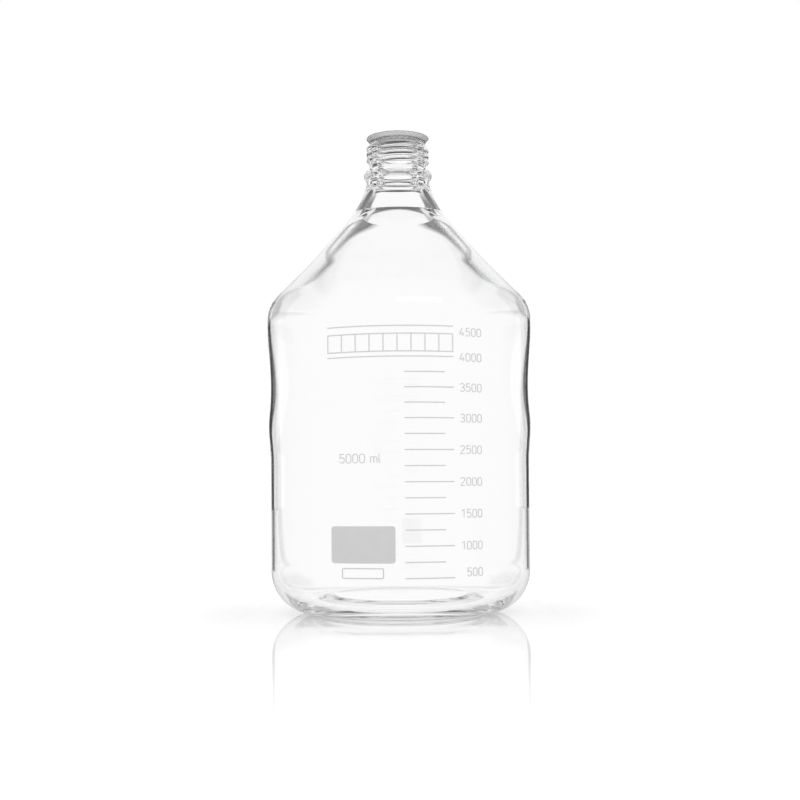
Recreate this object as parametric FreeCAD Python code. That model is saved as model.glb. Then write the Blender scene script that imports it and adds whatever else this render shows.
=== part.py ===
import FreeCAD, Part
import math
import os

# Laboratory bottle of clear borosilicate glass, five litres, with a threaded neck
# and a plastic pouring ring over its lip. Millimetres, Z up, origin in the middle
# of the ring that the bottle stands on. The print faces -Y, the grips +X and -X.

# Underside and foot
foot_ring_width = 2.5            # flat ring that touches the table
foot_corner_blend = 29.7         # large round corner between foot and wall
punt_slope_width = 8.1           # from that ring in to the raised middle of the underside
punt_height = 3.2
punt_blend = 5.0

# Outside of the body, each height measured from the corner below it
wall_radius = 90.3               # below the swell
wall_swell = 2.0                 # how much wider the wall is above the swell
lower_wall_height = 108.0
swell_height = 26.0              # short stretch where the wall widens
upper_wall_height = 79.5
shoulder_height = 30.5
shoulder_bend_radius = 62.5      # radius where the shoulder steepens
cone_height = 36.8
cone_radius = 29.9               # radius where shoulder and neck cone meet
neck_foot_height = 16.0
neck_foot_radius = 23.2
wall_blend = 80.0
shoulder_corner_blend = 24.0
shoulder_bend_blend = 200.0
cone_blend = 90.0
neck_foot_blend = 20.0

# Thickness of the glass
base_glass = 5.0
foot_glass = 5.0                 # under the trough round the raised floor
wall_glass = 2.0
shoulder_glass = 4.0
cone_glass = 5.3
cavity_corner_blend = 26.0
floor_blend = 6.0
cone_foot_blend = 3.0            # inner corner where shoulder and neck cone meet
bore_mouth_blend = 0.5

# Neck
neck_radius = 22.0               # under the bead
neck_height = 10.2               # foot of the neck to the middle of the bead
bead_radius = 24.0
bead_thickness = 7.4
thread_root_radius = 20.0
thread_length = 21.4             # middle of the bead to the step under the lip
lip_radius = 18.2
lip_height = 2.0
lip_blend = 1.0
lip_root_blend = 0.4
bore_radius = 14.8
bore_depth = 31.0                # from the rim down to the funnel
funnel_radius = 17.0             # where the inner cone runs into the bore
funnel_height = 2.0
neck_allowance = 2.0             # the neck is formed this much too long, then cut back

# Thread on the neck, right-handed
thread_pitch = 4.0
thread_turns = 2.75              # full turns, without the run-outs
thread_crest_height = 1.95
thread_width = 3.4
thread_bite = 0.8                # how far the ridge starts inside the neck wall
run_out_turn = 0.33              # share of a turn over which each end sinks away
run_out_sink = 0.3               # how far the crest ends up inside the neck wall
thread_top_angle = -30.0         # where the upper end has sunk away, from +X
thread_top_gap = 0.35            # middle of the upper end below the step

# Hand grips, one pressed into each side of the body
grip_depth = 3.2
grip_forward = 16.0              # how far before the side each recess has its middle, degrees
grip_flattening = 47.7           # how much larger the recess's radius is than the wall's
grip_top_clearance = 2.6         # straight wall left under the shoulder's corner
grip_rise = 44.0                 # deepest point up to where the recess runs out
grip_fall = 30.0                 # and down
grip_blend = 20.0
grip_half_angle = 60.0           # the press reaches this far round its own axis
grip_overrun = 8.0               # and stands this far out of the wall

# Pouring ring
ring_fit = 0.15                  # clearance to the glass, all round
ring_skirt = 1.0                 # thickness of the outer skirt
ring_skirt_drop = 1.6            # how far the skirt hangs below the rim
ring_sleeve = 1.2                # thickness of the sleeve inside the bore
ring_sleeve_drop = 4.5
ring_sleeve_bevel = 0.35
ring_web = 1.1                   # thickness over the rim
ring_edge_radius = 22.1          # pouring edge
ring_edge_height = 3.5           # above the rim
ring_edge = 0.5                  # thickness at the pouring edge
ring_flare_root = 0.2            # where the flare leaves the skirt, above the rim
ring_flare_blend = 1.2
ring_throat_blend = 3.0
ring_edge_bevel = 0.2

# Fired print on the front of the wall
film = 0.15
print_line = 0.75
volume_step = 250000.0           # cubic millimetres from one line to the next
scale_first_height = 28.6        # line for half a litre
scale_line_count = 17
scale_rule_count = 2             # of these, the lines that run right across the front
scale_left = 3.0
scale_right = 34.6
scale_right_short = 29.0         # every other line is shorter
rule_left = -46.2
panel_left = -44.3
panel_right = -3.2
panel_foot = 38.2
panel_height = 23.6
panel_corner = 2.0
label_box_left = -37.6
label_box_right = -10.6
label_box_foot = 28.3
label_box_height = 7.0
label_box_corner = 1.2
field_left = -46.2
field_right = 34.6
field_foot = 172.4
field_height = 12.0
field_cells = 9
plate_overhang = 10.0            # the blocks that cut out the print start this far before the wall

# Radii and heights that follow from these
wall_radius_high = wall_radius + wall_swell
grip_across_radius = wall_radius_high + grip_flattening
foot_ring_radius = wall_radius - foot_corner_blend - foot_ring_width
punt_radius = foot_ring_radius - punt_slope_width
swell_start = lower_wall_height
swell_end = swell_start + swell_height
shoulder_foot = swell_end + upper_wall_height
shoulder_bend = shoulder_foot + shoulder_height
cone_foot = shoulder_bend + cone_height
neck_foot = cone_foot + neck_foot_height
bead_middle = neck_foot + neck_height
lip_step = bead_middle + thread_length
rim_height = lip_step + lip_height
shoulder_turn = math.atan2(wall_radius_high - shoulder_bend_radius, shoulder_height)
straight_wall_top = shoulder_foot - shoulder_corner_blend * math.tan(shoulder_turn / 2)
grip_centre_height = straight_wall_top - grip_top_clearance - grip_rise

CENTRE = FreeCAD.Vector(0, 0, 0)
UP = FreeCAD.Vector(0, 0, 1)
RIGHT = FreeCAD.Vector(1, 0, 0)


# Outlines

def point(radius, height):
    return FreeCAD.Vector(radius, 0, height)


def blended(places, blends):
    """Edges through the places, with a tangent arc of the given radius at each."""
    runs = [after - here for here, after in zip(places, places[1:])]
    turns = [0.0] * len(places)
    reach = [0.0] * len(places)
    for i in range(1, len(places) - 1):
        turns[i] = runs[i - 1].getAngle(runs[i])
        reach[i] = blends[i] * math.tan(turns[i] / 2)
    for i, run in enumerate(runs):
        share = min(1.0, 0.98 * run.Length / max(reach[i] + reach[i + 1], 1e-9))
        reach[i] *= share
        reach[i + 1] *= share
    edges = []
    last = places[0]
    for i in range(1, len(places) - 1):
        before = FreeCAD.Vector(runs[i - 1]).normalize()
        after = FreeCAD.Vector(runs[i]).normalize()
        start = places[i] - before * reach[i]
        end = places[i] + after * reach[i]
        edges.append(Part.LineSegment(last, start).toShape())
        if reach[i] > 0:
            radius = reach[i] / math.tan(turns[i] / 2)
            inward = (after - before).normalize()
            middle = places[i] + inward * radius * (1 / math.cos(turns[i] / 2) - 1)
            edges.append(Part.Arc(start, middle, end).toShape())
        last = end
    edges.append(Part.LineSegment(last, places[-1]).toShape())
    return edges


def turned(corners):
    """Solid turned about Z from corners (radius, height, blend), closed straight."""
    places = [point(radius, height) for radius, height, blend in corners]
    edges = blended(places, [blend for radius, height, blend in corners])
    edges.append(Part.LineSegment(places[-1], places[0]).toShape())
    form = Part.Face(Part.Wire(edges)).revolve(CENTRE, UP, 360)
    form.rotate(CENTRE, UP, 90)
    return form


# Glass

wall_corners = [
    (wall_radius, 0, foot_corner_blend),
    (wall_radius, swell_start, wall_blend),
    (wall_radius_high, swell_end, wall_blend),
    (wall_radius_high, shoulder_foot, shoulder_corner_blend),
    (shoulder_bend_radius, shoulder_bend, shoulder_bend_blend),
    (cone_radius, cone_foot, cone_blend),
    (neck_foot_radius, neck_foot, neck_foot_blend),
]


def outer_form():
    """The bottle as if it were full glass, with its bead, up to a little over the rim."""
    corners = [(0, punt_height, 0)]
    corners += [(punt_radius, punt_height, punt_blend)]
    corners += [(foot_ring_radius, 0, 0)]
    corners += wall_corners
    corners += [(neck_radius, bead_middle - bead_thickness / 2, 0)]
    corners += [(neck_radius, bead_middle, 0)]
    corners += [(thread_root_radius, bead_middle, 0)]
    corners += [(thread_root_radius, rim_height + neck_allowance, 0)]
    corners += [(0, rim_height + neck_allowance, 0)]
    bead = Part.makeTorus(bead_radius - bead_thickness / 2, bead_thickness / 2)
    bead.rotate(CENTRE, UP, 90)
    bead.translate(UP * bead_middle)
    return turned(corners).fuse(bead)


def inset_corner(before, here, after, thickness):
    """Corner of the inner face: both neighbouring runs moved inwards by the thickness."""
    first = (here - before).normalize()
    second = (after - here).normalize()
    inward = FreeCAD.Vector(-first.z - second.z, 0, first.x + second.x).normalize()
    return here + inward * (thickness / math.cos(first.getAngle(second) / 2))


def cavity_form():
    """The space inside: floor, body, shoulder, neck cone and bore, open above the rim."""
    places = [point(radius, height) for radius, height, blend in wall_corners]
    glass = [wall_glass, wall_glass, wall_glass, shoulder_glass, cone_glass]
    blends = [wall_blend, wall_blend, shoulder_corner_blend, shoulder_bend_blend, cone_foot_blend]
    trough_radius = foot_ring_radius + foot_ring_width / 2
    funnel_top = rim_height - bore_depth
    floor_height = punt_height + base_glass
    corners = [(0, floor_height, 0)]
    corners += [(punt_radius - floor_blend / 2, floor_height, floor_blend)]
    corners += [(trough_radius, foot_glass, floor_blend)]
    corners += [(wall_radius - wall_glass, foot_glass, cavity_corner_blend)]
    for i, (thickness, blend) in enumerate(zip(glass, blends)):
        inner = inset_corner(*places[i:i + 3], thickness)
        corners += [(inner.x, inner.z, blend)]
    corners += [(funnel_radius, funnel_top - funnel_height, bore_mouth_blend)]
    corners += [(bore_radius, funnel_top, bore_mouth_blend)]
    corners += [(bore_radius, rim_height + 2 * neck_allowance, 0)]
    corners += [(0, rim_height + 2 * neck_allowance, 0)]
    return turned(corners)


def lip_relief():
    """What is cut from neck and thread to leave the plain lip with its rounded rim."""
    outside = bead_radius + neck_allowance
    above = rim_height + 2 * neck_allowance
    corners = [(outside, lip_step, 0)]
    corners += [(lip_radius, lip_step, lip_root_blend)]
    corners += [(lip_radius, rim_height, lip_blend)]
    corners += [(bore_radius, rim_height, 0)]
    corners += [(bore_radius, above, 0)]
    corners += [(outside, above, 0)]
    return turned(corners)


def grip_press(growth):
    """Tool that presses one recess, drawn on the +X side, grown on every side by the growth."""
    floor_radius = grip_across_radius - growth
    axis = wall_radius_high - grip_depth - grip_across_radius
    reach = grip_depth + growth + grip_overrun
    edges = []
    ends = []
    for run, side in ((grip_rise, 1), (grip_fall, -1)):
        arc = (run ** 2 + grip_depth ** 2) / (2 * grip_depth) + growth
        turn = math.acos(1 - reach / arc)
        places = []
        for angle in (0, turn / 2, turn):
            height = grip_centre_height + side * arc * math.sin(angle)
            places.append(point(floor_radius + arc * (1 - math.cos(angle)), height))
        edges.append(Part.Arc(*places).toShape())
        ends.append(places[-1])
    edges.append(Part.LineSegment(*ends).toShape())
    outline = Part.Face(Part.Wire(Part.__sortEdges__(edges)))
    press = outline.revolve(CENTRE, UP, 2 * grip_half_angle)
    press.rotate(CENTRE, UP, -grip_half_angle)
    press.translate(RIGHT * axis)
    return press


def is_grip_face(face):
    """Only the recesses are turned about axes away from the middle of the bottle."""
    return face.Surface.TypeId == "Part::GeomToroid" and abs(face.Surface.Center.x) > 1


def with_grips(form, growth):
    """The form with a recess in each side, its rim rounded over."""
    for side_angle in (-grip_forward, 180 + grip_forward):
        press = grip_press(growth)
        press.rotate(CENTRE, UP, side_angle)
        form = form.cut(press)
        borders = [edge for face in form.Faces if is_grip_face(face) for edge in face.Edges]
        rim = [edge for edge in borders if sum(edge.isSame(other) for other in borders) == 1]
        form = form.makeFillet(grip_blend, rim)
    return form


def ridge(path):
    """Round-topped ridge along the path, its section drawn on the +X side at height 0."""
    foot = thread_root_radius - thread_bite
    half = thread_width / 2
    lower = point(thread_root_radius, -half)
    crest = point(thread_root_radius + thread_crest_height, 0)
    upper = point(thread_root_radius, half)
    sides = [Part.LineSegment(point(foot, -half), lower)]
    sides += [Part.Arc(lower, crest, upper)]
    sides += [Part.LineSegment(upper, point(foot, half))]
    sides += [Part.LineSegment(point(foot, half), point(foot, -half))]
    section = Part.Wire([side.toShape() for side in sides])
    return path.makePipeShell([section], True, True)


def thread_form():
    """Full turns, and at each end a run-out on a conical helix that sinks into the neck."""
    full = ridge(Part.makeHelix(thread_pitch, thread_pitch * thread_turns, thread_root_radius))
    sink = thread_crest_height + run_out_sink
    climb = thread_pitch * run_out_turn
    slant = math.hypot(sink, climb)
    slope = math.degrees(math.atan2(sink, climb))
    path = Part.makeHelix(slant / run_out_turn, slant, thread_root_radius - sink, slope)
    path.rotate(CENTRE, UP, -360 * run_out_turn)
    path.translate(UP * -climb)
    lower = ridge(path)
    upper = lower.copy()
    upper.rotate(CENTRE, RIGHT, 180)
    upper.rotate(CENTRE, UP, 360 * thread_turns)
    upper.translate(UP * thread_pitch * thread_turns)
    thread = full.fuse([upper, lower])
    all_turns = thread_turns + run_out_turn
    thread.rotate(CENTRE, UP, thread_top_angle - 360 * all_turns)
    thread.translate(UP * (lip_step - thread_top_gap - thread_pitch * all_turns))
    return thread


def glass_bottle():
    outside = with_grips(outer_form(), 0).fuse(thread_form())
    inside = with_grips(cavity_form(), wall_glass)
    return outside.cut([inside, lip_relief()])


# Plastic ring

def pouring_ring():
    """Flared ring: skirt round the lip, web over the rim, sleeve in the bore."""
    sleeve_outer = bore_radius - ring_fit
    sleeve_inner = sleeve_outer - ring_sleeve
    sleeve_foot = rim_height - ring_sleeve_drop
    skirt_inner = lip_radius + ring_fit
    skirt_outer = skirt_inner + ring_skirt
    skirt_foot = rim_height - ring_skirt_drop
    web_top = rim_height + ring_web
    edge_top = rim_height + ring_edge_height
    edge_inner = ring_edge_radius - ring_edge
    corners = [(sleeve_inner + ring_sleeve_bevel, sleeve_foot, 0)]
    corners += [(sleeve_outer - ring_edge_bevel, sleeve_foot, 0)]
    corners += [(sleeve_outer, sleeve_foot + ring_edge_bevel, 0)]
    corners += [(sleeve_outer, rim_height, 0)]
    corners += [(skirt_inner, rim_height, 0)]
    corners += [(skirt_inner, skirt_foot, 0)]
    corners += [(skirt_outer - ring_edge_bevel, skirt_foot, 0)]
    corners += [(skirt_outer, skirt_foot + ring_edge_bevel, 0)]
    corners += [(skirt_outer, rim_height + ring_flare_root, ring_flare_blend)]
    corners += [(edge_inner + ring_edge / 2, edge_top - ring_edge, 0)]
    corners += [(ring_edge_radius, edge_top - ring_edge_bevel, 0)]
    corners += [(ring_edge_radius - ring_edge_bevel, edge_top, 0)]
    corners += [(edge_inner, edge_top, 0)]
    corners += [(skirt_inner, web_top, ring_throat_blend)]
    corners += [(sleeve_inner + ring_sleeve_bevel, web_top, ring_throat_blend)]
    corners += [(sleeve_inner, rim_height - ring_web, 0)]
    corners += [(sleeve_inner, sleeve_foot + ring_web, 0)]
    return turned(corners)


# Print

def printed_skin():
    """Film on the whole of the upright wall, from which the print is cut."""
    above = [(wall_radius_high, shoulder_foot, 0)]
    under = [(0, 0, 0)] + wall_corners[:3] + above + [(0, shoulder_foot, 0)]
    over = [(radius + film if radius > 0 else 0, height, blend) for radius, height, blend in under]
    return turned(over).cut(turned(under))


def plate(left, right, foot, top, corner):
    """Upright block in front of the bottle, with round corners in the front view."""
    places = [(left, foot), (right, foot), (right, top), (left, top)]
    places = [FreeCAD.Vector(x, -wall_radius_high - plate_overhang, z) for x, z in places]
    outline = Part.makePolygon(places + places[:1])
    block = Part.Face(outline).extrude(FreeCAD.Vector(0, wall_radius_high, 0))
    if corner > 0:
        depthwise = [edge for edge in block.Edges if abs(edge.tangentAt(edge.FirstParameter).y) > 0.9]
        block = block.makeFillet(corner, depthwise)
    return block


def line(left, right, height):
    return plate(left, right, height - print_line / 2, height + print_line / 2, 0)


def frame(left, right, foot, top, corner):
    """Outline of a box, one line wide."""
    outer = plate(left, right, foot, top, corner)
    inner_corner = max(corner - print_line, 0)
    inner = plate(left + print_line, right - print_line, foot + print_line, top - print_line, inner_corner)
    return outer.cut(inner)


def inner_wall_radius(height):
    swell = min(max((height - swell_start) / swell_height, 0), 1)
    return wall_radius + (wall_radius_high - wall_radius) * swell - wall_glass


def scale_heights():
    """Height of each line: one step of volume above the last in the round cavity."""
    heights = [scale_first_height]
    while len(heights) < scale_line_count:
        area = math.pi * inner_wall_radius(heights[-1]) ** 2
        heights.append(heights[-1] + volume_step / area)
    return heights


def scale_lines():
    """Long, short, long and so on upwards, then the two rules across the front."""
    lines = []
    for index, height in enumerate(scale_heights()):
        is_half_litre = index % 2 == 0
        is_rule = is_half_litre and index >= scale_line_count - 2 * scale_rule_count + 1
        if not is_half_litre and index > scale_line_count - 2 * scale_rule_count:
            continue
        left = rule_left if is_rule else scale_left
        right = scale_right if is_half_litre else scale_right_short
        lines.append(line(left, right, height))
    return lines


def blank_field():
    """Row of empty cells between the two rules."""
    cells = [frame(field_left, field_right, field_foot, field_foot + field_height, 0)]
    width = (field_right - field_left - print_line) / field_cells
    for index in range(1, field_cells):
        left = field_left + width * index
        cells.append(plate(left, left + print_line, field_foot, field_foot + field_height, 0))
    return cells[0].fuse(cells[1:])


def printed(shapes, skin):
    return Part.makeCompound([solid for shape in shapes for solid in skin.common(shape).Solids])


# Pieces

def main():
    skin = printed_skin()
    panel = plate(panel_left, panel_right, panel_foot, panel_foot + panel_height, panel_corner)
    label_box_top = label_box_foot + label_box_height
    label_box = frame(label_box_left, label_box_right, label_box_foot, label_box_top, label_box_corner)
    pieces = {
        "glass_bottle": glass_bottle(),
        "pouring_ring": pouring_ring(),
        "scale_lines": printed(scale_lines(), skin),
        "writing_panel": printed([panel], skin),
        "label_boxes": printed([label_box, blank_field()], skin),
    }
    os.makedirs("parts", exist_ok=True)
    for name, shape in pieces.items():
        shape.exportStep("parts/" + name + ".step")


main()
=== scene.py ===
import math

import bpy
import numpy as np
from mathutils import Matrix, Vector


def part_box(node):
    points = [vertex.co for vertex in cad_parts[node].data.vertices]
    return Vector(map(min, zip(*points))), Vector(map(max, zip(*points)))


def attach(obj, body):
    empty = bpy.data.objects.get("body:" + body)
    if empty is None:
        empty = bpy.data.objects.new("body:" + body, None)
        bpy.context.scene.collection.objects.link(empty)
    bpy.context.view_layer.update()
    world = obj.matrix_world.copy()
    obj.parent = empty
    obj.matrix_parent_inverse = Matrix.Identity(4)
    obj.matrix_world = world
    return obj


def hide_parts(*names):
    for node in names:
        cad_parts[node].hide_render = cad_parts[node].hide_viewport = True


# Five litre laboratory bottle of clear glass with a plastic pouring ring and a fired scale.
# Metres, Z up. The bottle stands on the origin, its print faces -Y, its grips +X and -X.

bl_info = {
    "name": "Laboratory bottle",
    "version": (1, 0, 0),
    "blender": (4, 5, 0),
    "location": "3D View > Sidebar > Bottle",
    "description": "Builds a large laboratory bottle of clear glass, its pouring ring and its scale",
    "category": "Add Mesh",
}

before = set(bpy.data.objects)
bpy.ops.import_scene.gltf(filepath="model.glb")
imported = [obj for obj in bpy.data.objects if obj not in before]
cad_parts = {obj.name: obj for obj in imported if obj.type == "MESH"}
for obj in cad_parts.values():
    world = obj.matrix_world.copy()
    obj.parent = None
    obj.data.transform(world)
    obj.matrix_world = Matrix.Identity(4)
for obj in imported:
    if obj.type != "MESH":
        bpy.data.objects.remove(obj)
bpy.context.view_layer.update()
cad_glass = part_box("glass_bottle")
cad_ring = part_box("pouring_ring")

MM = 0.001
WHITE = (1.0, 1.0, 1.0)
NEAR_ZERO = 1e-6

# Fineness of the meshes: points round the bottle, greatest distances along the outlines and turns of arcs
STEPS = 192
GLASS_SPACING = 3.6 * MM
LIP_SPACING = 0.6 * MM
THREAD_SPACING = 0.2 * MM
RING_SPACING = 0.4 * MM
ARC_STEP = math.radians(4)
BEAD_POINTS = 22
BOW_STEP = 15

# Gap between letters and greatest length of a mitre, in widths of a stroke
LETTER_GAP = 1.1
MITRE_LIMIT = 1.8

# Lines of the scale stand further apart than this
LINE_GAP = 2 * MM


def length(name, description, default):
    return bpy.props.FloatProperty(
        name=name, description=description, default=default, unit="LENGTH", precision=5)


def factor(name, description, default, top=1.0):
    return bpy.props.FloatProperty(
        name=name, description=description, default=default, min=0.0, max=top, precision=4)


def angle(name, description, degrees):
    return bpy.props.FloatProperty(
        name=name, description=description, default=math.radians(degrees), unit="ROTATION")


def colour(name, description, default):
    return bpy.props.FloatVectorProperty(
        name=name, description=description, default=default, subtype="COLOR", size=3, min=0.0, max=1.0)


def count(name, description, default):
    return bpy.props.IntProperty(name=name, description=description, default=default, min=3)


# Sizes and colours that a user would change

class BodyForm(bpy.types.PropertyGroup):
    """Outside of the body, from the foot up to the foot of the neck"""
    foot_ring: length("Foot ring", "Width of the flat ring that touches the table", 2.5 * MM)
    foot_corner: length("Foot corner", "Radius of the round corner between foot and wall", 29.7 * MM)
    punt_radius: length("Punt radius", "Radius of the raised middle of the underside", 50 * MM)
    punt_height: length("Punt height", "How far the middle of the underside is raised", 3.2 * MM)
    punt_blend: length("Punt blend", "Rounding of the raised middle", 5 * MM)
    low_radius: length("Lower radius", "Radius of the wall below the swell", 90.3 * MM)
    high_radius: length("Upper radius", "Radius of the wall above the swell", cad_glass[1].x)
    low_height: length("Lower wall", "Height at which the wall starts to swell", 108 * MM)
    swell_height: length("Swell", "Height over which the wall widens", 26 * MM)
    high_height: length("Upper wall", "Height of the wall above the swell", 79.5 * MM)
    wall_blend: length("Wall blend", "Rounding at both ends of the swell", 80 * MM)
    shoulder_corner: length("Shoulder corner", "Radius of the corner under the shoulder", 24 * MM)
    shoulder_height: length("Shoulder", "Height of the shoulder's flatter part", 30.5 * MM)
    bend_radius: length("Bend radius", "Radius of the bottle where the shoulder steepens", 62.5 * MM)
    bend_blend: length("Bend blend", "Rounding where the shoulder steepens", 200 * MM)
    cone_height: length("Cone", "Height of the shoulder's steeper part", 36.8 * MM)
    cone_radius: length("Cone radius", "Radius where the shoulder meets the neck cone", 29.9 * MM)
    cone_blend: length("Cone blend", "Rounding where the shoulder meets the neck cone", 90 * MM)
    neck_foot_height: length("Neck cone", "Height of the neck cone", 16 * MM)
    neck_foot_radius: length("Neck foot radius", "Radius at the top of the neck cone", 23.2 * MM)
    neck_foot_blend: length("Neck foot blend", "Rounding at the top of the neck cone", 20 * MM)


class GlassForm(bpy.types.PropertyGroup):
    """Thickness of the glass and the form of the cavity"""
    base: length("Base", "Thickness of the base in its middle", 5 * MM)
    foot: length("Foot", "Thickness under the trough round the raised floor", 5 * MM)
    wall: length("Wall", "Thickness of the upright wall", 2 * MM)
    shoulder: length("Shoulder", "Thickness where the shoulder steepens", 4 * MM)
    cone: length("Cone", "Thickness where the shoulder meets the neck cone", 5.3 * MM)
    cone_blend: length("Cone blend", "Rounding of the inner corner at the neck cone", 3 * MM)
    floor_blend: length("Floor blend", "Rounding of the raised floor", 6 * MM)
    corner: length("Corner", "Radius of the cavity's lower corner", 26 * MM)
    mouth_blend: length("Mouth blend", "Rounding where the inner cone runs into the bore", 0.5 * MM)
    bore_radius: length("Bore radius", "Radius of the bore", 14.8 * MM)
    bore_depth: length("Bore depth", "Depth of the bore from the rim", 31 * MM)
    funnel_radius: length("Funnel radius", "Radius at the top of the inner cone", 17 * MM)
    funnel_height: length("Funnel height", "Height of the short funnel under the bore", 2 * MM)


class NeckForm(bpy.types.PropertyGroup):
    """Neck with its bead, right-handed thread and lip"""
    radius: length("Radius", "Radius of the neck under the bead", 22 * MM)
    height: length("Height", "From the foot of the neck to the middle of the bead", 10.2 * MM)
    bead_radius: length("Bead radius", "Outer radius of the bead", 24 * MM)
    bead_thickness: length("Bead thickness", "Height of the bead", 7.4 * MM)
    root_radius: length("Root radius", "Radius of the neck between the turns of the thread", 20 * MM)
    thread_length: length("Thread length", "From the middle of the bead to the step under the lip", 21.4 * MM)
    lip_radius: length("Lip radius", "Radius of the plain lip", 18.2 * MM)
    lip_height: length("Lip height", "Height of the plain lip", 2 * MM)
    lip_blend: length("Lip blend", "Rounding of the rim", 1 * MM)
    lip_root_blend: length("Lip root blend", "Rounding at the step under the lip", 0.4 * MM)
    pitch: length("Pitch", "Rise of the thread in one turn", 4 * MM)
    turns: factor("Turns", "Full turns of the thread, without its run-outs", 2.75, 10.0)
    crest: length("Crest", "Height of the thread over the neck", 1.95 * MM)
    width: length("Width", "Width of the thread at its foot", 3.4 * MM)
    run_out: factor("Run-out", "Share of a turn over which each end sinks away", 0.33)
    sink: length("Sink", "How far the ends of the thread sink under the face of the neck", 0.3 * MM)
    top_angle: angle("Top angle", "Where the upper end has sunk away, from +X", -30)
    top_gap: length("Top gap", "Middle of the upper end below the step under the lip", 0.35 * MM)


class GripForm(bpy.types.PropertyGroup):
    """Hand grip pressed into each side of the body"""
    depth: length("Depth", "Greatest depth of a grip", 3.2 * MM)
    height: length("Height", "Height of the deepest point", 157 * MM)
    rise: length("Rise", "From the deepest point up to the grip's rim", 44 * MM)
    fall: length("Fall", "From the deepest point down to the grip's rim", 36 * MM)
    half_angle: angle("Half angle", "Half of the grip's width round the bottle", 30)
    forward: angle("Forward", "How far in front of the side the grip's middle lies", 16)


class RingForm(bpy.types.PropertyGroup):
    """Plastic pouring ring on the lip"""
    fit: length("Fit", "Clearance to the glass", 0.15 * MM)
    skirt: length("Skirt", "Thickness of the outer skirt", 1 * MM)
    skirt_drop: length("Skirt drop", "How far the skirt hangs below the rim", 1.6 * MM)
    sleeve: length("Sleeve", "Thickness of the sleeve in the bore", 1.2 * MM)
    sleeve_drop: length("Sleeve drop", "How far the sleeve hangs below the rim", 4.5 * MM)
    bevel: length("Bevel", "Bevel at both ends of the sleeve", 0.35 * MM)
    web: length("Web", "Thickness over the rim", 1.1 * MM)
    edge_radius: length("Edge radius", "Radius of the pouring edge", cad_ring[1].x)
    edge_height: length("Edge height", "Height of the pouring edge over the rim", 3.5 * MM)
    edge: length("Edge", "Thickness at the pouring edge", 0.5 * MM)
    flare_root: length("Flare root", "Height over the rim at which the flare leaves the skirt", 0.2 * MM)
    flare_blend: length("Flare blend", "Rounding under the flare", 1.2 * MM)
    throat_blend: length("Throat blend", "Rounding of the throat", 3 * MM)
    edge_blend: length("Edge blend", "Rounding of the small edges", 0.2 * MM)


class PrintForm(bpy.types.PropertyGroup):
    """Numbers of the scale"""
    film: length("Film", "Thickness of the enamel", 0.15 * MM)
    number_height: length("Number height", "Height of the numbers beside the lines", 5.7 * MM)
    number_right: length("Number right", "Right-hand end of the numbers, round the wall", 56.4 * MM)
    wide: factor("Letter width", "How much wider than their plain form the letters are", 1.34, 3.0)
    stroke: length("Stroke", "Width of a stroke", 0.62 * MM)
    end_shift: length("End shift", "How far the first and last number stand towards the others", 3.3 * MM)
    volume_height: length("Volume height", "Height of the letters of the whole volume", 6.2 * MM)
    volume_left: length("Volume left", "Left-hand end of the whole volume", -40.2 * MM)
    volume_foot: length("Volume foot", "Height of its base line", 101.8 * MM)


class Looks(bpy.types.PropertyGroup):
    """Finishes of the bottle"""
    glass: colour("Glass", "Tint of the glass surface", (0.999, 0.999, 0.999))
    glass_shade: colour("Glass shade", "Tint where the blown glass varies", (0.990, 0.991, 0.990))
    glass_depth: colour("Glass depth", "Colour that thick glass tends to", (0.55, 0.58, 0.57))
    glass_density: factor("Glass density", "How strongly thick glass takes that colour", 1.5, 100.0)
    glass_index: factor("Glass index", "Refractive index of borosilicate glass", 1.473, 2.0)
    ring: colour("Ring", "Grey of the plastic ring", (0.72, 0.72, 0.73))
    ring_shade: colour("Ring shade", "Darker grey of the plastic ring", (0.67, 0.67, 0.68))
    ring_clear: factor("Ring clearness", "How much of the light passes through the plastic ring", 0.9)
    ring_gloss: factor("Ring roughness", "Roughness of the plastic ring", 0.2)
    enamel: colour("Enamel", "Pale grey of the fired print", (0.66, 0.66, 0.66))
    enamel_shade: colour("Enamel shade", "Grey where the print is thinner", (0.62, 0.62, 0.62))


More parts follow.
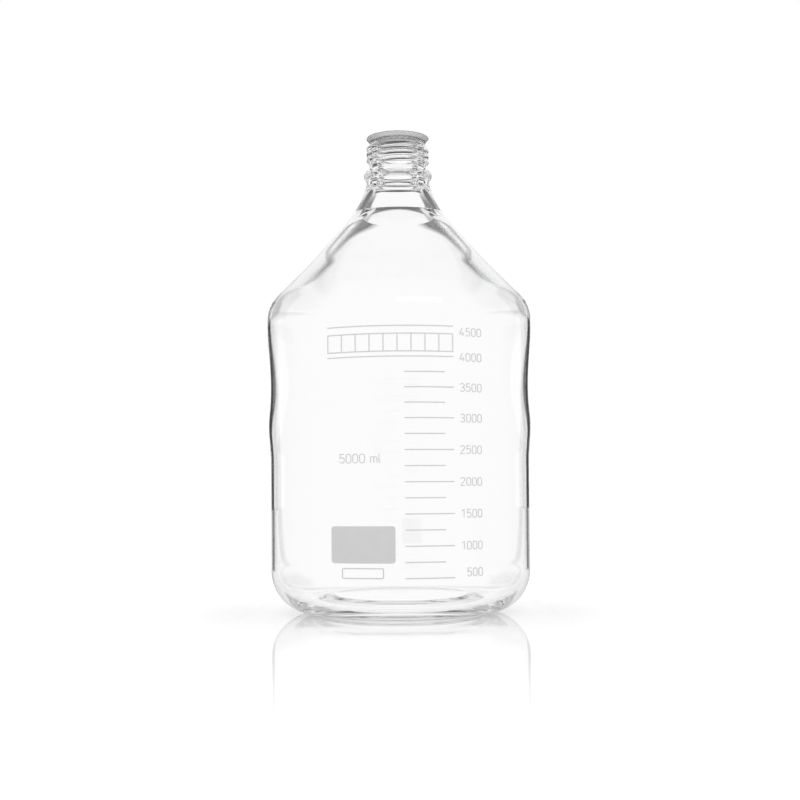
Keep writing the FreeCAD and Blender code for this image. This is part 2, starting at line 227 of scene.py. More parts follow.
class Stage(bpy.types.PropertyGroup):
    """Camera, floor and light"""
    camera_distance: length("Camera distance", "From the bottle's axis to the camera", 0.9047)
    camera_height: length("Camera height", "Height of the camera over the floor", 0.0796)
    camera_pitch: angle("Camera pitch", "How far the camera looks up", 1.78)
    camera_roll: angle("Camera roll", "How far the camera leans", -0.447)
    focal_pixels: factor("Focal length", "Focal length in pixels of the photograph", 1286.7, 10000.0)
    image_pixels: factor("Image", "Width of the photograph in pixels", 800.0, 10000.0)
    centre_row: factor("Centre row", "Row of the photograph that the lens looks at", 458.0, 10000.0)
    bounces: count("Bounces", "How often light may bounce inside the thick glass", 96)
    floor: colour("Floor", "Grey of the floor", (0.84, 0.84, 0.84))
    floor_shade: colour("Floor shade", "Darker grey of the floor", (0.8, 0.8, 0.8))
    floor_size: length("Floor size", "Half the side of the floor", 8.0)
    floor_lift: factor("Floor lift", "Light that keeps the floor white for the camera", 0.22)
    gloss_wide: length("Gloss width", "Half the width of the floor's glossy stretch", 0.095)
    gloss_side: length("Gloss side", "Half its width where it has faded to the sides", 0.12)
    gloss_start: length("Gloss start", "Where it starts to fade before the bottle's axis", 0.10)
    gloss_end: length("Gloss end", "Where it has faded before the bottle's axis", 0.55)
    card_inner: angle("Card start", "Where the dark cards beside the background start", 13.5)
    card_outer: angle("Card end", "Where the dark cards end", 28)
    card_top: angle("Card top", "Height at which the dark cards start to fade", 10)
    card_fade: angle("Card fade", "Height at which the dark cards have faded", 26)
    card_light: factor("Card", "Light of the dark cards", 0.06)
    # Painted reflection: the floor's glow is darkened where mirror images of the dark side cards would lie,
    # seen only through the glass
    card_base: length("Card base", "Half the distance between the feet of the cards' mirror images", 0.09)
    card_near: length("Card near", "How far behind the axis the mirror images start", 0.15)
    card_full: length("Card full", "How far behind the axis they have their full tone", 0.25)
    painted_card_reflection: factor("Card mirror", "Light of the cards' mirror images on the floor", 0.02)
    roof_start: angle("Roof start", "Height at which the dark stretch over the background starts", 22)
    roof_end: angle("Roof end", "Height at which it ends", 40)
    roof_reach: angle("Roof reach", "How far it reaches to each side", 14)
    roof_light: factor("Roof", "Light of that stretch", 0.03)
    flank_start: angle("Flank start", "Height at which the grey cards beyond the dark ones start", 11)
    flank_end: angle("Flank end", "Height at which they end", 36)
    flank_reach: angle("Flank reach", "Where they end to each side", 62)
    flank_light: factor("Flank", "Light of the grey cards", 0.1)
    lamp_end: angle("Lamp end", "Where the bright side lamps end", 55)
    room_light: factor("Room", "Light of the room in reflections", 0.55, 4.0)
    lamp_left: angle("Lamp left", "Left side of the front lamp, round from the front", -1)
    lamp_right: angle("Lamp right", "Right side of the front lamp", 37)
    lamp_foot: angle("Lamp foot", "Height of the front lamp's lower edge", 12)
    lamp_top: angle("Lamp top", "Height of the front lamp's upper edge", 25)
    lamp_light: factor("Lamp", "Light of the front lamp in reflections", 3.0, 20.0)
    soft_light: factor("Soft light", "Light that falls on the bottle from all round", 1.1, 4.0)


GROUPS = {
    "bottle_body": BodyForm,
    "bottle_glass": GlassForm,
    "bottle_neck": NeckForm,
    "bottle_grips": GripForm,
    "bottle_ring": RingForm,
    "bottle_print": PrintForm,
    "bottle_looks": Looks,
    "bottle_stage": Stage,
}


# Outlines

def rounded(corners, spacing):
    """Points (radius, height) along the corners (radius, height, blend), each rounded by a tangent arc."""
    places = np.array([corner[:2] for corner in corners], float)
    runs = np.diff(places, axis=0)
    spans = np.linalg.norm(runs, axis=1)
    ways = runs / spans[:, None]
    turns = np.zeros(len(places))
    reach = np.zeros(len(places))
    for i in range(1, len(places) - 1):
        turns[i] = math.acos(np.clip(ways[i - 1] @ ways[i], -1, 1))
        reach[i] = corners[i][2] * math.tan(turns[i] / 2)
    for i, span in enumerate(spans):
        # Both arcs of a short run shrink until they fit
        share = min(1.0, 0.98 * span / max(reach[i] + reach[i + 1], 1e-12))
        reach[i] *= share
        reach[i + 1] *= share
    points = [places[0]]
    for i in range(1, len(places) - 1):
        start = places[i] - ways[i - 1] * reach[i]
        if reach[i] == 0:
            points.append(start)
            continue
        radius = reach[i] / math.tan(turns[i] / 2)
        inward = (ways[i] - ways[i - 1]) / np.linalg.norm(ways[i] - ways[i - 1])
        centre = places[i] + inward * radius / math.cos(turns[i] / 2)
        side = np.sign(ways[i - 1][0] * ways[i][1] - ways[i - 1][1] * ways[i][0])
        steps = max(3, math.ceil(turns[i] / ARC_STEP), math.ceil(radius * turns[i] / spacing))
        for turn in side * turns[i] * np.arange(steps + 1) / steps:
            spin = np.array([[math.cos(turn), -math.sin(turn)], [math.sin(turn), math.cos(turn)]])
            points.append(centre + spin @ (start - centre))
    points.append(places[-1])
    return divided(points, spacing)


def divided(points, spacing):
    """The same line with points no further apart than the spacing."""
    line = [points[0]]
    for point in points[1:]:
        gap = np.linalg.norm(point - line[-1])
        if gap < 1e-8:
            continue
        steps = math.ceil(gap / spacing)
        start = line[-1]
        line += [start + (point - start) * step / steps for step in range(1, steps + 1)]
    return np.array(line)


def inset(before, here, after, thickness):
    """Corner of the inner face: both neighbouring runs moved inwards by the thickness."""
    first = (here - before) / np.linalg.norm(here - before)
    second = (after - here) / np.linalg.norm(after - here)
    inward = np.array([-first[1] - second[1], first[0] + second[0]])
    inward /= np.linalg.norm(inward)
    half_turn = math.acos(np.clip(first @ second, -1, 1)) / 2
    return here + inward * thickness / math.cos(half_turn)


def wall_corners(body):
    """Corners (radius, height, blend) of the outside, from the foot corner to the foot of the neck."""
    swell_end = body.low_height + body.swell_height
    shoulder_foot = swell_end + body.high_height
    bend = shoulder_foot + body.shoulder_height
    cone_foot = bend + body.cone_height
    neck_foot = cone_foot + body.neck_foot_height
    return [
        (body.low_radius, 0, body.foot_corner),
        (body.low_radius, body.low_height, body.wall_blend),
        (body.high_radius, swell_end, body.wall_blend),
        (body.high_radius, shoulder_foot, body.shoulder_corner),
        (body.bend_radius, bend, body.bend_blend),
        (body.cone_radius, cone_foot, body.cone_blend),
        (body.neck_foot_radius, neck_foot, body.neck_foot_blend),
    ]


def neck_heights(body, neck):
    """Middle of the bead, step under the lip, rim."""
    bead = wall_corners(body)[-1][1] + neck.height
    step = bead + neck.thread_length
    return bead, step, step + neck.lip_height


def outer_line(body, neck, bore_radius):
    """Body, bead and thread root from the middle of the underside up to the rim, in two parts."""
    bead, step, rim = neck_heights(body, neck)
    foot_radius = body.low_radius - body.foot_corner - body.foot_ring
    corners = [(0, body.punt_height, 0), (body.punt_radius, body.punt_height, body.punt_blend)]
    corners += [(foot_radius, 0, 0)] + wall_corners(body)
    below = rounded(corners + [(neck.radius, bead - neck.bead_thickness / 2, 0)], GLASS_SPACING)
    half = neck.bead_thickness / 2
    centre = neck.bead_radius - half
    under = math.acos((neck.radius - centre) / half)
    over = math.acos((neck.root_radius - centre) / half) if neck.root_radius > centre else math.pi / 2
    turns = np.linspace(-under, over, BEAD_POINTS)
    ball = np.stack([centre + half * np.cos(turns), bead + half * np.sin(turns)], 1)
    root_heights = np.arange(bead + half + 0.5 * MM, step, THREAD_SPACING)
    root = np.array([[neck.root_radius, height] for height in root_heights])
    lip = [(neck.root_radius, step, 0), (neck.lip_radius, step, neck.lip_root_blend)]
    lip += [(neck.lip_radius, rim, neck.lip_blend), (bore_radius, rim, neck.lip_blend * 0.8)]
    lip = rounded(lip + [(bore_radius, rim - 2 * neck.lip_blend, 0)], LIP_SPACING)
    return np.concatenate([below[:-1], ball, root]), lip


def inner_line(body, neck, glass):
    """Bore, neck cone, shoulder, wall and floor, from the rim down to the middle of the floor."""
    places = np.array([corner[:2] for corner in wall_corners(body)])
    thicknesses = [glass.wall, glass.wall, glass.wall, glass.shoulder, glass.cone]
    blends = [body.wall_blend, body.wall_blend, body.shoulder_corner, body.bend_blend, glass.cone_blend]
    rim = neck_heights(body, neck)[2]
    trough = body.low_radius - body.foot_corner - body.foot_ring / 2
    floor = body.punt_height + glass.base
    funnel_top = rim - glass.bore_depth
    corners = [(0, floor, 0), (body.punt_radius - glass.floor_blend / 2, floor, glass.floor_blend)]
    corners += [(trough, glass.foot, glass.floor_blend)]
    corners += [(body.low_radius - glass.wall, glass.foot, glass.corner)]
    for i, (thickness, blend) in enumerate(zip(thicknesses, blends)):
        corners += [(*inset(*places[i:i + 3], thickness), blend)]
    corners += [(glass.funnel_radius, funnel_top - glass.funnel_height, glass.mouth_blend)]
    corners += [(glass.bore_radius, funnel_top, glass.mouth_blend)]
    corners += [(glass.bore_radius, rim - 2.5 * neck.lip_blend, 0)]
    return rounded(corners, GLASS_SPACING)[::-1]


# Forms laid over the turned glass

def grip_depths(turns, heights, grip):
    """How far the wall is pressed in, at each angle round the bottle and each height."""
    rise = heights - grip.height
    up_or_down = np.where(rise > 0, rise / grip.rise, rise / grip.fall)
    depths = np.zeros(np.broadcast(turns, heights).shape)
    for middle in (-grip.forward, math.pi + grip.forward):
        across = (turns - middle + math.pi) % (2 * math.pi) - math.pi
        reach = np.minimum(up_or_down ** 2 + (across / grip.half_angle) ** 2, 1)
        depths += grip.depth * (1 - reach) ** 2
    return depths


def thread_heights(turns, heights, neck, step):
    """How far the thread stands out of the neck, at each angle and each height."""
    all_turns = neck.turns + neck.run_out
    foot = step - neck.top_gap - neck.pitch * all_turns
    half = neck.width / 2
    crest_radius = (half ** 2 + neck.crest ** 2) / (2 * neck.crest)
    first = (turns - neck.top_angle) / (2 * math.pi) + all_turns
    first = (first + neck.run_out) % 1 - neck.run_out
    stands = np.zeros(np.broadcast(turns, heights).shape)
    for index in range(math.ceil(all_turns) + 1):
        turn = first + index
        offset = heights - foot - neck.pitch * turn
        past_end = np.maximum(np.maximum(-turn, turn - neck.turns), 0) / neck.run_out
        section = np.sqrt(np.maximum(crest_radius ** 2 - offset ** 2, 0)) - (crest_radius - neck.crest)
        section = np.where(np.abs(offset) < half, section, 0)
        ridge = section - (neck.crest + neck.sink) * past_end
        stands = np.maximum(stands, np.where(past_end <= 1, ridge, 0))
    return stands


# Meshes

def turned_object(name, radii, heights, closed):
    """Object turned about Z. Each row of radii and heights is one point of the outline, all the way round."""
    rows, steps = radii.shape
    turns = np.arange(steps) * 2 * math.pi / steps
    places = np.stack([radii * np.cos(turns), radii * np.sin(turns), heights], -1).reshape(-1, 3)
    faces = []
    here = np.arange(steps)
    beside = (here + 1) % steps
    for row in range(rows if closed else rows - 1):
        low, high = row * steps, (row + 1) % rows * steps
        faces += np.stack([low + here, low + beside, high + beside, high + here], 1).tolist()
    if not closed:
        faces.append(list(range(steps))[::-1])
        faces.append(list(range((rows - 1) * steps, rows * steps)))
    return mesh_object(name, places, faces)


def mesh_object(name, places, faces):
    """Object with a smooth mesh, linked to the scene."""
    mesh = bpy.data.meshes.new(name)
    mesh.from_pydata([tuple(place) for place in places], [], faces)
    mesh.shade_smooth()
    mesh.validate()
    piece = bpy.data.objects.new(name, mesh)
    bpy.context.scene.collection.objects.link(piece)
    return piece


# Strokes of the numbers, drawn in a box one high

def bow(centre, radii, start, end):
    """Points along part of an oval, from the start angle to the end angle in degrees."""
    steps = max(4, int(abs(end - start) / BOW_STEP))
    turns = np.radians(np.linspace(start, end, steps + 1))
    return [(centre[0] + radii[0] * math.cos(turn), centre[1] + radii[1] * math.sin(turn)) for turn in turns]


def glyph(letter):
    """Strokes of one letter, each a list of points, and the width it takes."""
    if letter == "0":
        ring = bow((0.22, 0.24), (0.22, 0.24), 180, 360) + bow((0.22, 0.76), (0.22, 0.24), 0, 180)
        return [ring + ring[:1]], 0.44
    if letter == "1":
        return [[(0.06, 0.78), (0.26, 1.0), (0.26, 0.0)]], 0.40
    if letter == "2":
        return [bow((0.22, 0.76), (0.22, 0.24), 165, -35) + [(0.0, 0.0), (0.45, 0.0)]], 0.45
    if letter == "3":
        upper = bow((0.21, 0.76), (0.20, 0.24), 155, -90)
        return [upper + bow((0.21, 0.26), (0.23, 0.26), 90, -155)[1:]], 0.44
    if letter == "4":
        return [[(0.27, 1.0), (0.0, 0.26), (0.47, 0.26)], [(0.35, 0.50), (0.35, 0.0)]], 0.47
    if letter == "5":
        return [[(0.41, 1.0), (0.06, 1.0), (0.03, 0.54)] + bow((0.21, 0.32), (0.23, 0.32), 128, -150)], 0.44
    if letter == "m":
        first = [(0.0, 0.0), (0.0, 0.68)]
        humps = [bow((0.14, 0.52), (0.14, 0.16), 180, 0) + [(0.28, 0.0)]]
        humps += [bow((0.42, 0.52), (0.14, 0.16), 180, 0) + [(0.56, 0.0)]]
        return [first] + humps, 0.56
    if letter == "l":
        return [[(0.0, 1.0)] + bow((0.12, 0.14), (0.12, 0.14), 180, 270)], 0.14
    if letter == " ":
        return [], 0.18
    raise ValueError("no strokes for the letter " + letter)


def lettering(form, text, left, foot, height):
    """Strokes of the text as lists of points, and where it ends. Left and foot give its lower corner."""
    strokes = []
    size = height - form.stroke
    for letter in text:
        lines, width = glyph(letter)
        first, base = left + form.stroke / 2, foot + form.stroke / 2
        for line in lines:
            strokes.append([(first + x * size * form.wide, base + z * size) for x, z in line])
        left += width * size * form.wide + form.stroke * (1 + LETTER_GAP)
    return strokes, left - form.stroke * LETTER_GAP


def stroke_band(line, width):
    """Both edges of a stroke with mitred corners, as two lists of points."""
    points = np.array(line, float)
    is_ring = np.allclose(points[0], points[-1])
    ways = np.diff(points, axis=0)
    ways /= np.linalg.norm(ways, axis=1)[:, None]
    before = np.vstack([ways[-1:] if is_ring else ways[:1], ways])
    after = np.vstack([ways, ways[:1] if is_ring else ways[-1:]])
    middle = before + after
    middle /= np.linalg.norm(middle, axis=1)[:, None]
    normal = np.stack([-middle[:, 1], middle[:, 0]], 1)
    spread = np.minimum(1 / np.maximum((middle * after).sum(1), NEAR_ZERO), MITRE_LIMIT)
    offset = normal * (spread * width / 2)[:, None]
    return points + offset, points - offset


def strokes_on_wall(name, strokes, width, radius_at, film):
    """Thin solid strokes that lie on the face of the wall. A point is (way round the wall, height)."""
    places = []
    faces = []

    def wrapped(point, lift):
        radius = radius_at(point[1])
        turn = point[0] / radius
        return ((radius + lift) * math.sin(turn), -(radius + lift) * math.cos(turn), point[1])

    for line in strokes:
        left, right = stroke_band(line, width)
        first = len(places)
        for a, b in zip(left, right):
            places += [wrapped(a, 0), wrapped(b, 0), wrapped(b, film), wrapped(a, film)]
        steps = len(left)
        for step in range(steps - 1):
            here = first + 4 * step
            for side in range(4):
                beside = (side + 1) % 4
                faces.append([here + side, here + 4 + side, here + 4 + beside, here + beside])
        faces.append([first, first + 1, first + 2, first + 3])
        last = first + 4 * (steps - 1)
        faces.append([last + 3, last + 2, last + 1, last])
    return mesh_object(name, places, faces)


# Shader nodes

class Value:
    """A node's output that can be used in sums and products."""

    def __init__(self, nodes, socket):
        self.nodes = nodes
        self.socket = socket

    def _maths(self, operation, first, second):
        return self.nodes.add("ShaderNodeMath", {"operation": operation}, {0: first, 1: second})

    def __add__(self, other):
        return self._maths("ADD", self, other)

    __radd__ = __add__

    def __sub__(self, other):
        return self._maths("SUBTRACT", self, other)

    def __rsub__(self, other):
        return self._maths("SUBTRACT", other, self)

    def __mul__(self, other):
        return self._maths("MULTIPLY", self, other)

    __rmul__ = __mul__

    def __gt__(self, other):
        return self._maths("GREATER_THAN", self, other)


class Nodes:
    """Builds the node tree of one material or world."""

    def __init__(self, tree):
        self.tree = tree
        tree.nodes.clear()

    def add(self, kind, settings=None, inputs=None, output=0):
        """One node with its settings, its inputs given as values or links, and one of its outputs."""
        node = self.tree.nodes.new(kind)
        for name, value in (settings or {}).items():
            setattr(node, name, value)
        for key, value in (inputs or {}).items():
            if isinstance(value, Value):
                self.tree.links.new(value.socket, node.inputs[key])
            else:
                node.inputs[key].default_value = value
        if len(node.outputs) == 0:
            return None
        return Value(self, node.outputs[output])

    def mixed(self, share, first, second):
        """Colour between two colours."""
        colours = [value if isinstance(value, Value) else (*value, 1.0) for value in (first, second)]
        return self.add("ShaderNodeMix", {"data_type": "RGBA"}, {0: share, 6: colours[0], 7: colours[1]}, 2)

    def rising(self, value, start, end, interpolation="LINEAR"):
        """Nothing up to the start, and one from the end on."""
        return self.add("ShaderNodeMapRange", {"interpolation_type": interpolation}, {
            0: value, 1: start, 2: end, 3: 0.0, 4: 1.0})

    def falling(self, value, start, end, interpolation="LINEAR"):
        """One up to the start, and nothing from the end on."""
        return self.add("ShaderNodeMapRange", {"interpolation_type": interpolation}, {
            0: value, 1: start, 2: end, 3: 1.0, 4: 0.0})

    def between(self, value, start, end, fade):
        """One from the start to the end, and falling to nothing over the fade outside them."""
        return self.rising(value, start - fade, start) * self.falling(value, end, end + fade)

    def split(self, vector):
        """The three parts of a vector."""
        first = self.add("ShaderNodeSeparateXYZ", {}, {0: vector})
        return [Value(self, part) for part in first.socket.node.outputs]

    def size_of(self, value):
        """The value without its sign."""
        return self.add("ShaderNodeMath", {"operation": "ABSOLUTE"}, {0: value})

    def direction(self, across, away):
        """Angle of the direction (across, away) from the second axis."""
        return self.add("ShaderNodeMath", {"operation": "ARCTAN2"}, {0: across, 1: away})

    def rays(self, kind):
        """One for rays of that kind, such as camera rays."""
        return self.add("ShaderNodeLightPath", output="Is " + kind + " Ray")

    def noise(self, scale, detail=2.0, roughness=0.5):
        """Cloudy noise in the piece's own coordinates."""
        place = self.add("ShaderNodeTexCoord", output=3)
        return self.add("ShaderNodeTexNoise", {}, {
            "Vector": place, "Scale": scale, "Detail": detail, "Roughness": roughness})

    def bump(self, height, strength, distance):
        """Normal of a surface raised by the height."""
        return self.add("ShaderNodeBump", {}, {"Height": height, "Strength": strength, "Distance": distance})


def new_material(name):
    """Empty material and its node tree."""
    material = bpy.data.materials.new(name)
    material.use_nodes = True
    return material, Nodes(material.node_tree)


def clear_glass(looks):
    """Blown borosilicate glass: clear, a little uneven in thickness, faintly tinted where it is thick."""
    material, nodes = new_material("clear_glass")
    slow = nodes.noise(14.0, 1.0)
    fine = nodes.noise(60.0, 2.0)
    tint = nodes.mixed(slow, tuple(looks.glass), tuple(looks.glass_shade))
    surface = nodes.add("ShaderNodeBsdfPrincipled", {}, {
        "Base Color": tint,
        "Roughness": fine * 0.004,
        "IOR": looks.glass_index,
        "Transmission Weight": 1.0,
        "Normal": nodes.bump(slow + fine * 0.15, 0.05, 0.001),
    })
    depth = nodes.add("ShaderNodeVolumeAbsorption", {}, {
        "Color": (*looks.glass_depth, 1.0), "Density": looks.glass_density})
    nodes.add("ShaderNodeOutputMaterial", {}, {"Surface": surface, "Volume": depth})
    return material


def ring_plastic(looks):
    """Grey moulded plastic that lets some light through, with a faint grain."""
    material, nodes = new_material("ring_plastic")
    cloud = nodes.noise(90.0, 3.0)
    grain = nodes.noise(1500.0, 2.0)
    surface = nodes.add("ShaderNodeBsdfPrincipled", {}, {
        "Base Color": nodes.mixed(cloud, tuple(looks.ring), tuple(looks.ring_shade)),
        "Roughness": looks.ring_gloss + cloud * 0.06,
        "IOR": 1.49,
        "Transmission Weight": looks.ring_clear,
        "Normal": nodes.bump(grain, 0.05, 0.00005),
    })
    nodes.add("ShaderNodeOutputMaterial", {}, {"Surface": surface})
    return material


def fired_enamel(looks):
    """Pale grey enamel with fine pinholes and a soft gloss."""
    material, nodes = new_material("fired_enamel")
    cloud = nodes.noise(220.0, 3.0)
    speckle = nodes.noise(2600.0, 1.0)
    pale = nodes.mixed(cloud, tuple(looks.enamel), tuple(looks.enamel_shade))
    surface = nodes.add("ShaderNodeBsdfPrincipled", {}, {
        "Base Color": nodes.mixed((speckle > 0.66) * 0.5, pale, tuple(looks.enamel_shade)),
        "Roughness": 0.45 + speckle * 0.2,
        "IOR": 1.5,
        "Normal": nodes.bump(speckle, 0.2, 0.00005),
    })
    nodes.add("ShaderNodeOutputMaterial", {}, {"Surface": surface})
    return material


def shared_material(name, maker, looks):
    """The material of that name, made when it is first asked for."""
    return bpy.data.materials.get(name) or maker(looks)


# Operators

class BOTTLE_OT_glass(bpy.types.Operator):
    """Turn the glass with its cavity, press in the grips and raise the thread"""
    bl_idname = "bottle.add_glass"
    bl_label = "Glass"

    def execute(self, context):
        scene = context.scene
        body, neck, glass, grip = scene.bottle_body, scene.bottle_neck, scene.bottle_glass, scene.bottle_grips
        outside, lip = outer_line(body, neck, glass.bore_radius)
        inside = inner_line(body, neck, glass)
        outline = np.concatenate([outside, lip, inside])
        outline[0, 0] = outline[-1, 0] = 0.01 * MM
        turns = np.arange(STEPS) * 2 * math.pi / STEPS
        radii = np.repeat(outline[:, :1], STEPS, 1)
        heights = np.repeat(outline[:, 1:], STEPS, 1)
        on_wall = radii > 0.6 * body.low_radius
        radii = radii - np.where(on_wall, grip_depths(turns, heights, grip), 0)
        bead, step, rim = neck_heights(body, neck)
        on_root = np.abs(outline[:, :1] - neck.root_radius) < NEAR_ZERO
        on_root &= outline[:, 1:] <= step + NEAR_ZERO
        radii = radii + np.where(on_root, thread_heights(turns, heights, neck, step), 0)
        piece = turned_object("bottle_glass", radii, heights, False)
        piece.data.materials.append(shared_material("clear_glass", clear_glass, scene.bottle_looks))
        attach(piece, "root")
        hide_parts("glass_bottle")
        return {"FINISHED"}


class BOTTLE_OT_ring(bpy.types.Operator):
    """Turn the plastic pouring ring with its soft edges"""
    bl_idname = "bottle.add_ring"
    bl_label = "Pouring ring"

    def execute(self, context):
        scene = context.scene
        ring, neck = scene.bottle_ring, scene.bottle_neck
        rim = neck_heights(scene.bottle_body, neck)[2]
        sleeve_outer = scene.bottle_glass.bore_radius - ring.fit
        sleeve_inner = sleeve_outer - ring.sleeve
        sleeve_foot = rim - ring.sleeve_drop
        skirt_inner = neck.lip_radius + ring.fit
        skirt_outer = skirt_inner + ring.skirt
        skirt_foot = rim - ring.skirt_drop
        web_top = rim + ring.web
        edge_top = rim + ring.edge_height
        edge_inner = ring.edge_radius - ring.edge
        small = ring.edge_blend
        corners = [
            (sleeve_inner, sleeve_foot + ring.web, 0),
            (sleeve_inner + ring.bevel, sleeve_foot, small / 2),
            (sleeve_outer, sleeve_foot, small),
            (sleeve_outer, rim, 0),
            (skirt_inner, rim, 0),
            (skirt_inner, skirt_foot, small),
            (skirt_outer, skirt_foot, small),
            (skirt_outer, rim + ring.flare_root, ring.flare_blend),
            (edge_inner + ring.edge / 2, edge_top - ring.edge, small),
            (ring.edge_radius, edge_top, small),
            (edge_inner, edge_top, small),
            (skirt_inner, web_top, ring.throat_blend),
            (sleeve_inner + ring.bevel, web_top, ring.throat_blend),
            (sleeve_inner, rim - ring.web, 0),
            (sleeve_inner, sleeve_foot + ring.web, 0),
        ]
        outline = rounded(corners, RING_SPACING)[:-1]
        radii = np.repeat(outline[:, :1], STEPS, 1)
        heights = np.repeat(outline[:, 1:], STEPS, 1)
        piece = turned_object("ring_plastic", radii, heights, True)
        piece.data.materials.append(shared_material("ring_plastic", ring_plastic, scene.bottle_looks))
        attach(piece, "root")
        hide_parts("pouring_ring")
        return {"FINISHED"}


class BOTTLE_OT_print(bpy.types.Operator):
    """Give the printed lines and boxes their enamel and add the numbers"""
    bl_idname = "bottle.add_print"
    bl_label = "Print"

    def execute(self, context):
        scene = context.scene
        form = scene.bottle_print
        enamel = shared_material("fired_enamel", fired_enamel, scene.bottle_looks)
        for node in ("scale_lines", "writing_panel", "label_boxes"):
            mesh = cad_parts[node].data
            mesh.materials.clear()
            mesh.materials.append(enamel)
        heights = line_heights("scale_lines")
        half_litres = heights[0::2] + heights[-1:]
        strokes = []
        for index, height in enumerate(half_litres):
            text = str(500 * (index + 1))
            width = lettering(form, text, 0, 0, form.number_height)[1]
            is_first = index == 0
            is_last = index == len(half_litres) - 1
            shift = form.end_shift * (is_first - is_last)
            foot = height - form.number_height / 2 + shift
            strokes += lettering(form, text, form.number_right - width, foot, form.number_height)[0]
        volume = lettering(form, "5000 ml", form.volume_left, form.volume_foot, form.volume_height)
        strokes += volume[0]
        body = scene.bottle_body
        wall = rounded(wall_corners(body)[:4], 1 * MM)
        piece = strokes_on_wall("scale_numbers", strokes, form.stroke,
                                lambda height: np.interp(height, wall[:, 1], wall[:, 0]), form.film)
        piece.data.shade_flat()
        piece.data.materials.append(enamel)
        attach(piece, "root")
        return {"FINISHED"}


def line_heights(node):
    """Middle height of each separate line in a CAD node, from the bottom up."""
    heights = sorted(vertex.co.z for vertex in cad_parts[node].data.vertices)
    groups = [[heights[0]]]
    for height in heights[1:]:
        if height - groups[-1][-1] > LINE_GAP:
            groups.append([])
        groups[-1].append(height)
    return [(group[0] + group[-1]) / 2 for group in groups]


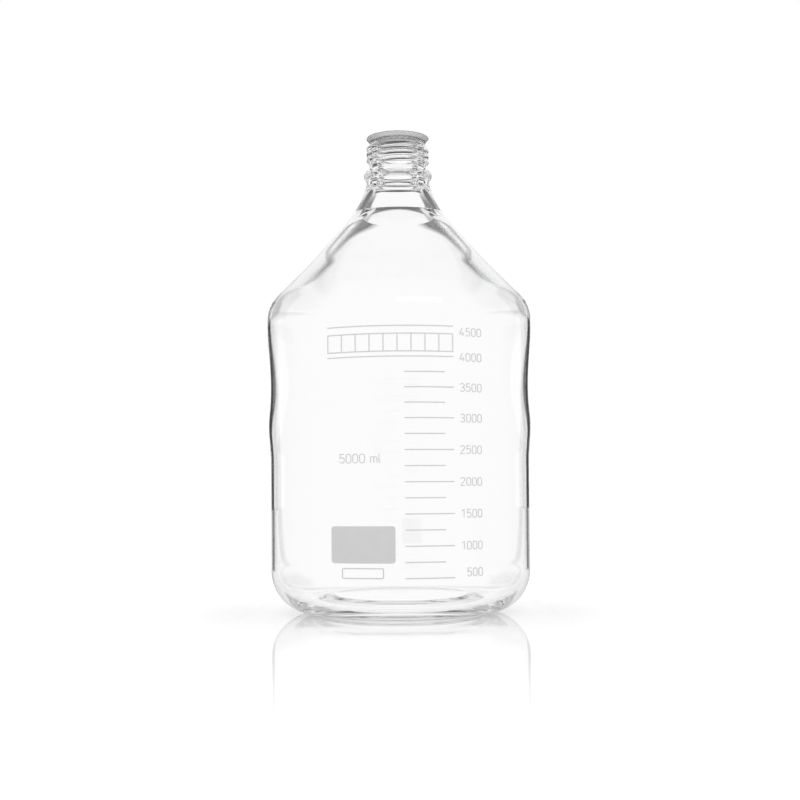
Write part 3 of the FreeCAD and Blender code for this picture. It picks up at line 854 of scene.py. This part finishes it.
class BOTTLE_OT_stage(bpy.types.Operator):
    """Set up the camera, the pale glossy floor and the light"""
    bl_idname = "bottle.add_stage"
    bl_label = "Stage"

    def execute(self, context):
        scene = context.scene
        stage = scene.bottle_stage
        scene.view_settings.view_transform = "Standard"
        scene.cycles.max_bounces = stage.bounces
        scene.cycles.transmission_bounces = stage.bounces
        scene.cycles.glossy_bounces = stage.bounces
        self.add_camera(scene, stage)
        self.add_floor(stage)
        self.add_world(scene, stage)
        return {"FINISHED"}

    def add_camera(self, scene, stage):
        data = bpy.data.cameras.new("photo_camera")
        data.sensor_width = 36.0
        data.lens = stage.focal_pixels / stage.image_pixels * data.sensor_width
        data.shift_y = (stage.centre_row - stage.image_pixels / 2) / stage.image_pixels
        data.clip_start = 0.01
        camera = bpy.data.objects.new("photo_camera", data)
        scene.collection.objects.link(camera)
        look = Matrix.Rotation(math.pi / 2 + stage.camera_pitch, 4, "X")
        roll = Matrix.Rotation(stage.camera_roll, 4, "Z")
        place = Matrix.Translation((0, -stage.camera_distance, stage.camera_height))
        camera.matrix_world = place @ look @ roll
        scene.camera = camera

    def add_floor(self, stage):
        """Floor that is pale and glossy to the camera, grey in reflections and white through the glass, with
        painted dark reflections of the side cards there.
        """
        size = stage.floor_size
        corners = [(-size, -size, 0), (size, -size, 0), (size, size, 0), (-size, size, 0)]
        floor = mesh_object("studio_floor", corners, [[0, 1, 2, 3]])
        material, nodes = new_material("studio_floor")
        is_camera, is_mirrored, is_through = map(nodes.rays, ("Camera", "Glossy", "Transmission"))
        rightward, away, _ = nodes.split(nodes.add("ShaderNodeTexCoord", output=3))
        beside = nodes.size_of(rightward)
        before = 0 - away

        pale = nodes.mixed(nodes.noise(3.0), tuple(stage.floor), tuple(stage.floor_shade))
        matt = nodes.add("ShaderNodeBsdfDiffuse", {}, {"Color": pale})
        lift = nodes.add("ShaderNodeEmission", {}, {"Color": (*WHITE, 1), "Strength": stage.floor_lift})
        shadowed = nodes.add("ShaderNodeAddShader", {}, {0: matt, 1: lift})
        gloss = nodes.add("ShaderNodeBsdfGlossy", {}, {"Color": (*WHITE, 1), "Roughness": 0.04})
        sheen = nodes.add("ShaderNodeFresnel", {}, {"IOR": 1.45})
        sheen = sheen * nodes.falling(beside, stage.gloss_wide, stage.gloss_side, "SMOOTHSTEP")
        sheen = sheen * nodes.falling(before, stage.gloss_start, stage.gloss_end)
        polished = nodes.add("ShaderNodeMixShader", {}, {0: sheen, 1: shadowed, 2: gloss})
        plain = nodes.add("ShaderNodeMixShader", {}, {0: is_camera, 1: matt, 2: polished})

        # Painted reflection: dark mirror images of the side cards laid into the floor's glow, for rays
        # through the glass only
        soft = math.radians(3)
        turn = nodes.direction(beside - stage.card_base, away)
        cards = nodes.between(turn, stage.card_inner + soft, stage.card_outer, soft)
        cards = cards * is_through * nodes.rising(away, stage.card_near, stage.card_full)
        glow = nodes.mixed(is_through, (stage.room_light,) * 3, WHITE)
        glow = nodes.mixed(cards, glow, (stage.painted_card_reflection,) * 3)
        lit = nodes.add("ShaderNodeEmission", {}, {"Color": glow, "Strength": 1.0})
        surface = nodes.add("ShaderNodeMixShader", {}, {0: is_mirrored + is_through, 1: plain, 2: lit})
        nodes.add("ShaderNodeOutputMaterial", {}, {"Surface": surface})
        floor.data.materials.append(material)

    def add_world(self, scene, stage):
        """White behind the bottle, a dark card at each side of it, a dark stretch above and a dim room."""
        world = bpy.data.worlds.new("studio")
        scene.world = world
        world.use_nodes = True
        nodes = Nodes(world.node_tree)
        rightward, away, upward = nodes.split(nodes.add("ShaderNodeTexCoord"))
        turn = nodes.direction(nodes.size_of(rightward), away)
        everywhere = -1.0

        low, high = math.sin(stage.card_top), math.sin(stage.card_fade)
        cards = nodes.between(turn, stage.card_inner, stage.card_outer, math.radians(2))
        cards = cards * nodes.between(upward, everywhere, low, high - low)
        roof = nodes.between(upward, math.sin(stage.roof_start), math.sin(stage.roof_end), 0.04)
        roof = roof * nodes.between(turn, everywhere, stage.roof_reach, math.radians(6))
        flank = nodes.between(upward, math.sin(stage.flank_start), math.sin(stage.flank_end), 0.05)
        flank = flank * nodes.between(turn, stage.card_outer, stage.flank_reach, math.radians(4))
        through = nodes.mixed(cards, WHITE, (stage.card_light,) * 3)
        through = nodes.mixed(roof, through, (stage.roof_light,) * 3)
        through = nodes.mixed(flank, through, (stage.flank_light,) * 3)

        room = nodes.between(turn, everywhere, stage.lamp_end, math.radians(6))
        room = room * nodes.between(upward, everywhere, 0.5, 0.3)
        bearing = nodes.direction(rightward, 0 - away)
        lamp = nodes.between(bearing, stage.lamp_left, stage.lamp_right, math.radians(1))
        lamp = lamp * nodes.between(upward, math.sin(stage.lamp_foot), math.sin(stage.lamp_top), 0.02)
        mirrored = nodes.mixed(room, (stage.room_light,) * 3, WHITE)
        mirrored = nodes.mixed(cards, mirrored, (stage.card_light,) * 3)
        mirrored = nodes.mixed(lamp, mirrored, (stage.lamp_light,) * 3)

        light = nodes.mixed(nodes.rays("Camera"), (stage.soft_light,) * 3, WHITE)
        light = nodes.mixed(nodes.rays("Glossy"), light, mirrored)
        light = nodes.mixed(nodes.rays("Transmission"), light, through)
        background = nodes.add("ShaderNodeBackground", {}, {"Color": light, "Strength": 1.0})
        nodes.add("ShaderNodeOutputWorld", {}, {"Surface": background})


class BOTTLE_PT_panel(bpy.types.Panel):
    """Buttons for each piece of the bottle"""
    bl_idname = "BOTTLE_PT_panel"
    bl_label = "Laboratory bottle"
    bl_space_type = "VIEW_3D"
    bl_region_type = "UI"
    bl_category = "Bottle"

    def draw(self, context):
        for operator in OPERATORS:
            self.layout.operator(operator.bl_idname)
        for name in GROUPS:
            group = getattr(context.scene, name)
            box = self.layout.box()
            box.label(text=type(group).__doc__)
            for prop in group.bl_rna.properties:
                if prop.identifier not in ("rna_type", "name"):
                    box.prop(group, prop.identifier)


OPERATORS = [BOTTLE_OT_glass, BOTTLE_OT_ring, BOTTLE_OT_print, BOTTLE_OT_stage]


def register():
    for group in GROUPS.values():
        bpy.utils.register_class(group)
    for name, group in GROUPS.items():
        setattr(bpy.types.Scene, name, bpy.props.PointerProperty(type=group))
    for operator in OPERATORS:
        bpy.utils.register_class(operator)
    bpy.utils.register_class(BOTTLE_PT_panel)


def unregister():
    bpy.utils.unregister_class(BOTTLE_PT_panel)
    for operator in reversed(OPERATORS):
        bpy.utils.unregister_class(operator)
    for name, group in GROUPS.items():
        delattr(bpy.types.Scene, name)
        bpy.utils.unregister_class(group)


def main():
    register()
    bpy.ops.bottle.add_glass()
    bpy.ops.bottle.add_ring()
    bpy.ops.bottle.add_print()
    bpy.ops.bottle.add_stage()


if __name__ == "__main__":
    main()
